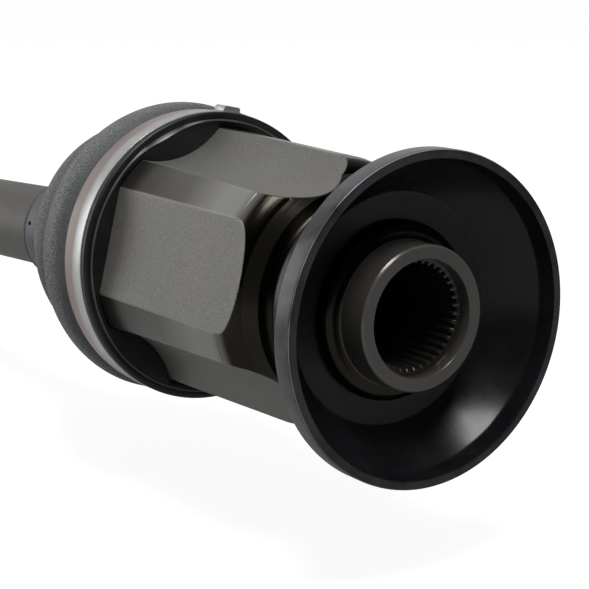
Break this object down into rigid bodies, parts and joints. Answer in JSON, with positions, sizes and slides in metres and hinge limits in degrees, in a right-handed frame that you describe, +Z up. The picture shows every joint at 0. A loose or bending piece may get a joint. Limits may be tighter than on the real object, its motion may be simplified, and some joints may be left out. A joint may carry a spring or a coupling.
{
  "type": "half shaft",
  "caption": "Drive half shaft: a plunging tripod joint with splined sleeve and bell shield, a bar with two booted joints, and a ball joint with splined stub.",
  "frame": {"origin": "centre of the splined sleeve's front face, at the mouth of its pilot bore", "axes": "+X along the tripod housing towards the outer joint, +Z up; the bar and the outer joint droop 3 degrees about the tripod's centre at rest"},
  "size_m": [0.5701, 0.1048, 0.122],
  "materials": {
    "forged_steel": "satin forged and machined steel, oiled",
    "shield_steel": "satin dark coated sheet steel",
    "bar_steel": "satin grey coated bar",
    "boot_rubber": "matt grey rubber",
    "adapter_rubber": "black rubber",
    "band_steel": "bright stainless band",
    "bearing_steel": "ground bearing steel",
    "black_steel": "blackened spring steel"
  },
  "bodies": {
    "axle": {"axle_bar": "bar_steel", "tripod_spider": "bearing_steel", "needle_bearings": "bearing_steel", "roller_keepers": "black_steel", "spider_circlip": "black_steel", "race_circlip": "black_steel", "inner_race": "bearing_steel", "inner_boot_collar": "boot_rubber", "inner_small_clamp": "band_steel", "outer_boot_collar": "boot_rubber", "outer_small_clamp": "band_steel"},
    "inner_fold_near_bar": {"inner_boot_fold_2": "boot_rubber"},
    "inner_fold_near_housing": {"inner_boot_fold_1": "boot_rubber"},
    "inner_joint": {"inner_housing": "forged_steel", "bore_plug": "black_steel", "roller_stop_ring": "black_steel", "bell_shield": "shield_steel", "boot_adapter": "adapter_rubber", "inner_boot_cuff": "boot_rubber", "inner_large_clamp": "band_steel"},
    "roller_1": {"tripod_roller_1": "bearing_steel"},
    "roller_2": {"tripod_roller_2": "bearing_steel"},
    "roller_3": {"tripod_roller_3": "bearing_steel"},
    "outer_fold_near_bar": {"outer_boot_fold_2": "boot_rubber"},
    "cage": {"ball_cage": "bearing_steel", "joint_balls": "bearing_steel"},
    "outer_fold_near_race": {"outer_boot_fold_1": "boot_rubber"},
    "outer_joint": {"outer_race": "forged_steel", "outer_boot_cuff": "boot_rubber", "outer_large_clamp": "band_steel"}
  },
  "joints": [
    {"name": "inner_joint_pitch", "type": "hinge", "parent": "axle", "child": "inner_fold_near_bar", "pos_m": [0.098, 0, 0], "axis": [0, 1, 0], "range_deg": [-7, 13], "deforming": ["inner_boot_cuff", "inner_boot_fold_1", "inner_boot_fold_2", "inner_boot_collar"]},
    {"name": "inner_joint_yaw", "type": "hinge", "parent": "inner_fold_near_bar", "child": "inner_fold_near_housing", "pos_m": [0.098, 0, 0], "axis": [0, 0, 1], "range_deg": [-8, 8]},
    {"name": "inner_joint_plunge", "type": "slide", "parent": "inner_fold_near_housing", "child": "inner_joint", "axis": [1, 0, 0], "range_m": [-0.008, 0.018]},
    {"name": "roller_1_spin", "type": "hinge", "parent": "axle", "child": "roller_1", "pos_m": [0.098, 0, 0], "axis": [0.0124, 0.9715, 0.2365], "range_deg": [-35, 75]},
    {"name": "roller_2_spin", "type": "hinge", "parent": "axle", "child": "roller_2", "pos_m": [0.098, 0, 0], "axis": [0.0378, -0.6909, 0.722], "range_deg": [-35, 75]},
    {"name": "roller_3_spin", "type": "hinge", "parent": "axle", "child": "roller_3", "pos_m": [0.098, 0, 0], "axis": [-0.0502, -0.2807, -0.9585], "range_deg": [-35, 75]},
    {"name": "outer_joint_steer_in", "type": "hinge", "parent": "axle", "child": "outer_fold_near_bar", "pos_m": [0.44952, 0, -0.01842], "axis": [0.0523, 0, 0.9986], "range_deg": [-20, 20], "deforming": ["outer_boot_cuff", "outer_boot_fold_1", "outer_boot_fold_2", "outer_boot_collar"]},
    {"name": "outer_joint_swing_in", "type": "hinge", "parent": "outer_fold_near_bar", "child": "cage", "pos_m": [0.44952, 0, -0.01842], "axis": [0, 1, 0], "range_deg": [-6, 6]},
    {"name": "outer_joint_swing_out", "type": "hinge", "parent": "cage", "child": "outer_fold_near_race", "pos_m": [0.44952, 0, -0.01842], "axis": [0, 1, 0], "range_deg": [-6, 6]},
    {"name": "outer_joint_steer_out", "type": "hinge", "parent": "outer_fold_near_race", "child": "outer_joint", "pos_m": [0.44952, 0, -0.01842], "axis": [0.0523, 0, 0.9986], "range_deg": [-20, 20]}
  ],
  "couplings": [
    {"joint": "roller_1_spin", "follows": "inner_joint_plunge", "rad_per_m": 71.429},
    {"joint": "roller_2_spin", "follows": "inner_joint_plunge", "rad_per_m": 71.429},
    {"joint": "roller_3_spin", "follows": "inner_joint_plunge", "rad_per_m": 71.429},
    {"joint": "outer_joint_swing_out", "follows": "outer_joint_swing_in", "ratio": 1},
    {"joint": "outer_joint_steer_out", "follows": "outer_joint_steer_in", "ratio": 1}
  ]
}
